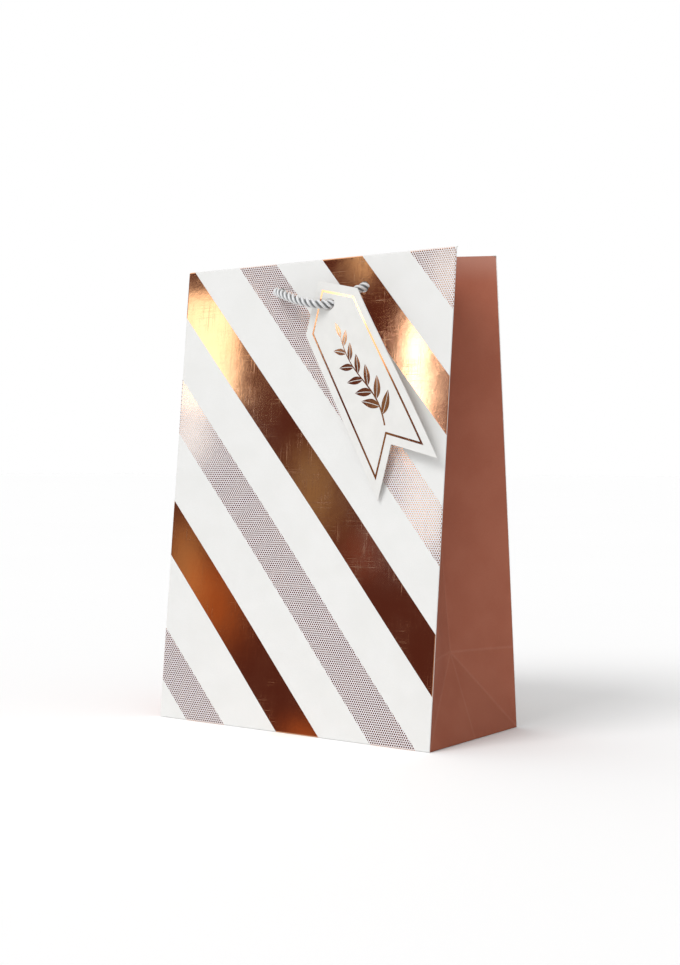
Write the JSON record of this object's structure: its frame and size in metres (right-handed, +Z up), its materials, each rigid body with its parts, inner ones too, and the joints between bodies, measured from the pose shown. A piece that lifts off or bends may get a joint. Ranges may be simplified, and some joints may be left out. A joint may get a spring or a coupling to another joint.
{
  "type": "gift bag",
  "caption": "Upright folded-paper gift bag with creased side gussets, rope handles tucked inside and a swallowtail tag.",
  "frame": {"origin": "centre of the bottom, on the surface that the bag stands on", "axes": "+Z up, -Y out of the front wall, +X towards the right side gusset seen from the front"},
  "size_m": [0.18, 0.09, 0.254],
  "materials": {
    "white_paper": "smooth coated",
    "terracotta_paper": "matte, fine tooth",
    "grey_board": "uncoated",
    "tag_card": "smooth matte",
    "satin_cord": "satin twisted rope"
  },
  "bodies": {
    "base": {"bottom_front_flap": "white_paper", "bottom_back_flap": "white_paper", "bottom_right_flap": "white_paper", "bottom_left_flap": "white_paper", "base_board": "grey_board"},
    "front_wall": {"front_panel": "white_paper", "front_rim_stiffener": "grey_board", "front_turned_in_rim": "white_paper", "front_handle_cord": "satin_cord", "front_handle_knot_a": "satin_cord", "front_handle_knot_b": "satin_cord"},
    "back_wall": {"back_panel": "white_paper", "back_rim_stiffener": "grey_board", "back_turned_in_rim": "white_paper", "back_handle_cord": "satin_cord", "back_handle_knot_a": "satin_cord", "back_handle_knot_b": "satin_cord", "glue_seam_flap": "terracotta_paper"},
    "right_gusset_fold": {"right_gusset_bottom": "terracotta_paper", "right_gusset_inner_front": "terracotta_paper", "right_gusset_inner_back": "terracotta_paper"},
    "right_gusset_front_edge": {"right_gusset_outer_front": "terracotta_paper"},
    "right_gusset_back_edge": {"right_gusset_outer_back": "terracotta_paper"},
    "left_gusset_fold": {"left_gusset_bottom": "terracotta_paper", "left_gusset_inner_front": "terracotta_paper", "left_gusset_inner_back": "terracotta_paper"},
    "left_gusset_front_edge": {"left_gusset_outer_front": "terracotta_paper"},
    "left_gusset_back_edge": {"left_gusset_outer_back": "terracotta_paper"},
    "tag": {"gift_tag": "tag_card"}
  },
  "joints": [
    {"name": "front_wall_tilt", "type": "hinge", "parent": "base", "child": "front_wall", "pos_m": [0, -0.045, 0], "axis": [1, 0, 0], "range_deg": [-1.5, 5.5]},
    {"name": "back_wall_tilt", "type": "hinge", "parent": "base", "child": "back_wall", "pos_m": [0, 0.045, 0], "axis": [1, 0, 0], "range_deg": [-5.5, 1.5]},
    {"name": "right_gusset_fold_tilt", "type": "hinge", "parent": "base", "child": "right_gusset_fold", "pos_m": [0.09, 0, 0], "axis": [0, 1, 0], "range_deg": [-1.2, 4.4]},
    {"name": "right_gusset_front_edge_turn", "type": "hinge", "parent": "right_gusset_fold", "child": "right_gusset_front_edge", "pos_m": [0.09, -0.045, 0], "axis": [0.7809, -0.6247, 0], "range_deg": [-1.93, 7.05]},
    {"name": "right_gusset_back_edge_turn", "type": "hinge", "parent": "right_gusset_fold", "child": "right_gusset_back_edge", "pos_m": [0.09, 0.045, 0], "axis": [-0.7809, -0.6247, 0], "range_deg": [-1.93, 7.05]},
    {"name": "left_gusset_fold_tilt", "type": "hinge", "parent": "base", "child": "left_gusset_fold", "pos_m": [-0.09, 0, 0], "axis": [0, 1, 0], "range_deg": [-4.4, 1.2]},
    {"name": "left_gusset_front_edge_turn", "type": "hinge", "parent": "left_gusset_fold", "child": "left_gusset_front_edge", "pos_m": [-0.09, -0.045, 0], "axis": [0.7809, 0.6247, 0], "range_deg": [-1.93, 7.05]},
    {"name": "left_gusset_back_edge_turn", "type": "hinge", "parent": "left_gusset_fold", "child": "left_gusset_back_edge", "pos_m": [-0.09, 0.045, 0], "axis": [-0.7809, 0.6247, 0], "range_deg": [-1.93, 7.05]},
    {"name": "tag_swing", "type": "hinge", "parent": "front_wall", "child": "tag", "pos_m": [0.0181, -0.03199, 0.2276], "axis": [0, -0.9954, 0.096], "range_deg": [-70, 15]}
  ],
  "couplings": [
    {"joint": "back_wall_tilt", "follows": "front_wall_tilt", "ratio": -1},
    {"joint": "right_gusset_fold_tilt", "follows": "front_wall_tilt", "ratio": 0.8},
    {"joint": "right_gusset_front_edge_turn", "follows": "front_wall_tilt", "ratio": 1.2806},
    {"joint": "right_gusset_back_edge_turn", "follows": "front_wall_tilt", "ratio": 1.2806},
    {"joint": "left_gusset_fold_tilt", "follows": "front_wall_tilt", "ratio": -0.8},
    {"joint": "left_gusset_front_edge_turn", "follows": "front_wall_tilt", "ratio": 1.2806},
    {"joint": "left_gusset_back_edge_turn", "follows": "front_wall_tilt", "ratio": 1.2806}
  ]
}
